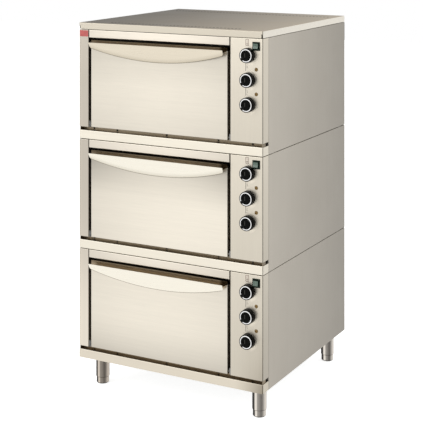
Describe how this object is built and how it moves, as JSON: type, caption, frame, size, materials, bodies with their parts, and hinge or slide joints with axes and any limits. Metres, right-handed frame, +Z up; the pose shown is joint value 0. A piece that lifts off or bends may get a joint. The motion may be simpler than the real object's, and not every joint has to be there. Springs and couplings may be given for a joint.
{
  "type": "deck oven",
  "caption": "Stacked deck oven in folded stainless sheet with bottom-hinged doors, crescent handles, a right-hand control column and tube legs with screw feet.",
  "frame": {"origin": "on the floor under the centre of the footprint, door handles and rear fittings included", "axes": "+X to the right of somebody facing the doors, +Y towards the back, +Z up; the doors face -Y"},
  "size_m": [0.9, 0.948, 1.607],
  "materials": {
    "front_steel": "brushed, satin",
    "side_steel": "brushed, satin",
    "rear_steel": "mill finish",
    "lid_steel": "brushed, satin",
    "chamber_steel": "heat-tinted",
    "galvanised_steel": "galvanised",
    "tube_steel": "polished along the tube",
    "fitting_steel": "zinc plated",
    "element_sheath": "oxidised",
    "refractory_stone": "rough",
    "mineral_wool": "fibrous",
    "seal_rubber": "matt",
    "black_moulding": "satin",
    "green_lens": "translucent",
    "amber_lens": "translucent",
    "red_enamel": "gloss",
    "cable_rubber": "matt"
  },
  "bodies": {
    "cabinet": {"lid": "lid_steel", "badge": "red_enamel", "side_panels": "side_steel", "rear_panels": "rear_steel", "left_columns": "front_steel", "header_strips": "front_steel", "control_panels": "front_steel", "bottom_rails": "front_steel", "oven_chambers": "chamber_steel", "chamber_supports": "galvanised_steel", "chamber_insulation": "mineral_wool", "heat_shields": "galvanised_steel", "hearth_ledges": "chamber_steel", "temperature_bulbs": "fitting_steel", "steam_outlets": "tube_steel", "stacking_pads": "fitting_steel", "hinge_brackets": "fitting_steel", "door_gaskets": "seal_rubber", "thermostats": "black_moulding", "switch_housings": "black_moulding", "indicator_lamps": "amber_lens", "heating_elements": "element_sheath", "deck_floors": "galvanised_steel", "hearth_stones": "refractory_stone", "legs": "tube_steel", "screws": "fitting_steel", "cable_gland": "black_moulding", "mains_cable": "cable_rubber", "terminal_block": "black_moulding"},
    "lower_door": {"lower_door_skin": "front_steel", "lower_door_handle": "front_steel", "lower_door_liner": "chamber_steel", "lower_door_insulation": "mineral_wool", "lower_door_hinge_arms": "fitting_steel"},
    "lower_thermostat_knob_body": {"lower_thermostat_knob": "black_moulding"},
    "lower_top_heat_knob_body": {"lower_top_heat_knob": "black_moulding"},
    "lower_floor_heat_knob_body": {"lower_floor_heat_knob": "black_moulding"},
    "lower_power_rocker_body": {"lower_power_rocker": "green_lens"},
    "middle_door": {"middle_door_skin": "front_steel", "middle_door_handle": "front_steel", "middle_door_liner": "chamber_steel", "middle_door_insulation": "mineral_wool", "middle_door_hinge_arms": "fitting_steel"},
    "middle_thermostat_knob_body": {"middle_thermostat_knob": "black_moulding"},
    "middle_top_heat_knob_body": {"middle_top_heat_knob": "black_moulding"},
    "middle_floor_heat_knob_body": {"middle_floor_heat_knob": "black_moulding"},
    "middle_power_rocker_body": {"middle_power_rocker": "green_lens"},
    "upper_door": {"upper_door_skin": "front_steel", "upper_door_handle": "front_steel", "upper_door_liner": "chamber_steel", "upper_door_insulation": "mineral_wool", "upper_door_hinge_arms": "fitting_steel"},
    "upper_thermostat_knob_body": {"upper_thermostat_knob": "black_moulding"},
    "upper_top_heat_knob_body": {"upper_top_heat_knob": "black_moulding"},
    "upper_floor_heat_knob_body": {"upper_floor_heat_knob": "black_moulding"},
    "upper_power_rocker_body": {"upper_power_rocker": "green_lens"},
    "front_left_foot_body": {"front_left_foot": "tube_steel"},
    "rear_left_foot_body": {"rear_left_foot": "tube_steel"},
    "front_right_foot_body": {"front_right_foot": "tube_steel"},
    "rear_right_foot_body": {"rear_right_foot": "tube_steel"}
  },
  "joints": [
    {"name": "lower_door_hinge", "type": "hinge", "parent": "cabinet", "child": "lower_door", "pos_m": [-0.05, -0.424, 0.194], "axis": [1, 0, 0], "range_deg": [0, 90], "stiffness_Nm_per_rad": 8, "springref_deg": -20.05},
    {"name": "lower_thermostat_knob_turn", "type": "hinge", "parent": "cabinet", "child": "lower_thermostat_knob_body", "pos_m": [0.384, -0.45, 0.541], "axis": [0, 1, 0], "range_deg": [0, 300]},
    {"name": "lower_top_heat_knob_turn", "type": "hinge", "parent": "cabinet", "child": "lower_top_heat_knob_body", "pos_m": [0.384, -0.45, 0.44], "axis": [0, 1, 0], "range_deg": [0, 270]},
    {"name": "lower_floor_heat_knob_turn", "type": "hinge", "parent": "cabinet", "child": "lower_floor_heat_knob_body", "pos_m": [0.384, -0.45, 0.339], "axis": [0, 1, 0], "range_deg": [0, 270]},
    {"name": "lower_power_rocker_tilt", "type": "hinge", "parent": "cabinet", "child": "lower_power_rocker_body", "pos_m": [0.42, -0.4395, 0.579], "axis": [1, 0, 0], "range_deg": [0, 14]},
    {"name": "middle_door_hinge", "type": "hinge", "parent": "cabinet", "child": "middle_door", "pos_m": [-0.05, -0.424, 0.677], "axis": [1, 0, 0], "range_deg": [0, 90], "stiffness_Nm_per_rad": 8, "springref_deg": -20.05},
    {"name": "middle_thermostat_knob_turn", "type": "hinge", "parent": "cabinet", "child": "middle_thermostat_knob_body", "pos_m": [0.384, -0.45, 1.024], "axis": [0, 1, 0], "range_deg": [0, 300]},
    {"name": "middle_top_heat_knob_turn", "type": "hinge", "parent": "cabinet", "child": "middle_top_heat_knob_body", "pos_m": [0.384, -0.45, 0.923], "axis": [0, 1, 0], "range_deg": [0, 270]},
    {"name": "middle_floor_heat_knob_turn", "type": "hinge", "parent": "cabinet", "child": "middle_floor_heat_knob_body", "pos_m": [0.384, -0.45, 0.822], "axis": [0, 1, 0], "range_deg": [0, 270]},
    {"name": "middle_power_rocker_tilt", "type": "hinge", "parent": "cabinet", "child": "middle_power_rocker_body", "pos_m": [0.42, -0.4395, 1.062], "axis": [1, 0, 0], "range_deg": [0, 14]},
    {"name": "upper_door_hinge", "type": "hinge", "parent": "cabinet", "child": "upper_door", "pos_m": [-0.05, -0.424, 1.16], "axis": [1, 0, 0], "range_deg": [0, 90], "stiffness_Nm_per_rad": 8, "springref_deg": -20.05},
    {"name": "upper_thermostat_knob_turn", "type": "hinge", "parent": "cabinet", "child": "upper_thermostat_knob_body", "pos_m": [0.384, -0.45, 1.507], "axis": [0, 1, 0], "range_deg": [0, 300]},
    {"name": "upper_top_heat_knob_turn", "type": "hinge", "parent": "cabinet", "child": "upper_top_heat_knob_body", "pos_m": [0.384, -0.45, 1.406], "axis": [0, 1, 0], "range_deg": [0, 270]},
    {"name": "upper_floor_heat_knob_turn", "type": "hinge", "parent": "cabinet", "child": "upper_floor_heat_knob_body", "pos_m": [0.384, -0.45, 1.305], "axis": [0, 1, 0], "range_deg": [0, 270]},
    {"name": "upper_power_rocker_tilt", "type": "hinge", "parent": "cabinet", "child": "upper_power_rocker_body", "pos_m": [0.42, -0.4395, 1.545], "axis": [1, 0, 0], "range_deg": [0, 14]},
    {"name": "front_left_foot_screw", "type": "slide", "parent": "cabinet", "child": "front_left_foot_body", "axis": [0, 0, -1], "range_m": [0, 0.025]},
    {"name": "rear_left_foot_screw", "type": "slide", "parent": "cabinet", "child": "rear_left_foot_body", "axis": [0, 0, -1], "range_m": [0, 0.025]},
    {"name": "front_right_foot_screw", "type": "slide", "parent": "cabinet", "child": "front_right_foot_body", "axis": [0, 0, -1], "range_m": [0, 0.025]},
    {"name": "rear_right_foot_screw", "type": "slide", "parent": "cabinet", "child": "rear_right_foot_body", "axis": [0, 0, -1], "range_m": [0, 0.025]}
  ]
}
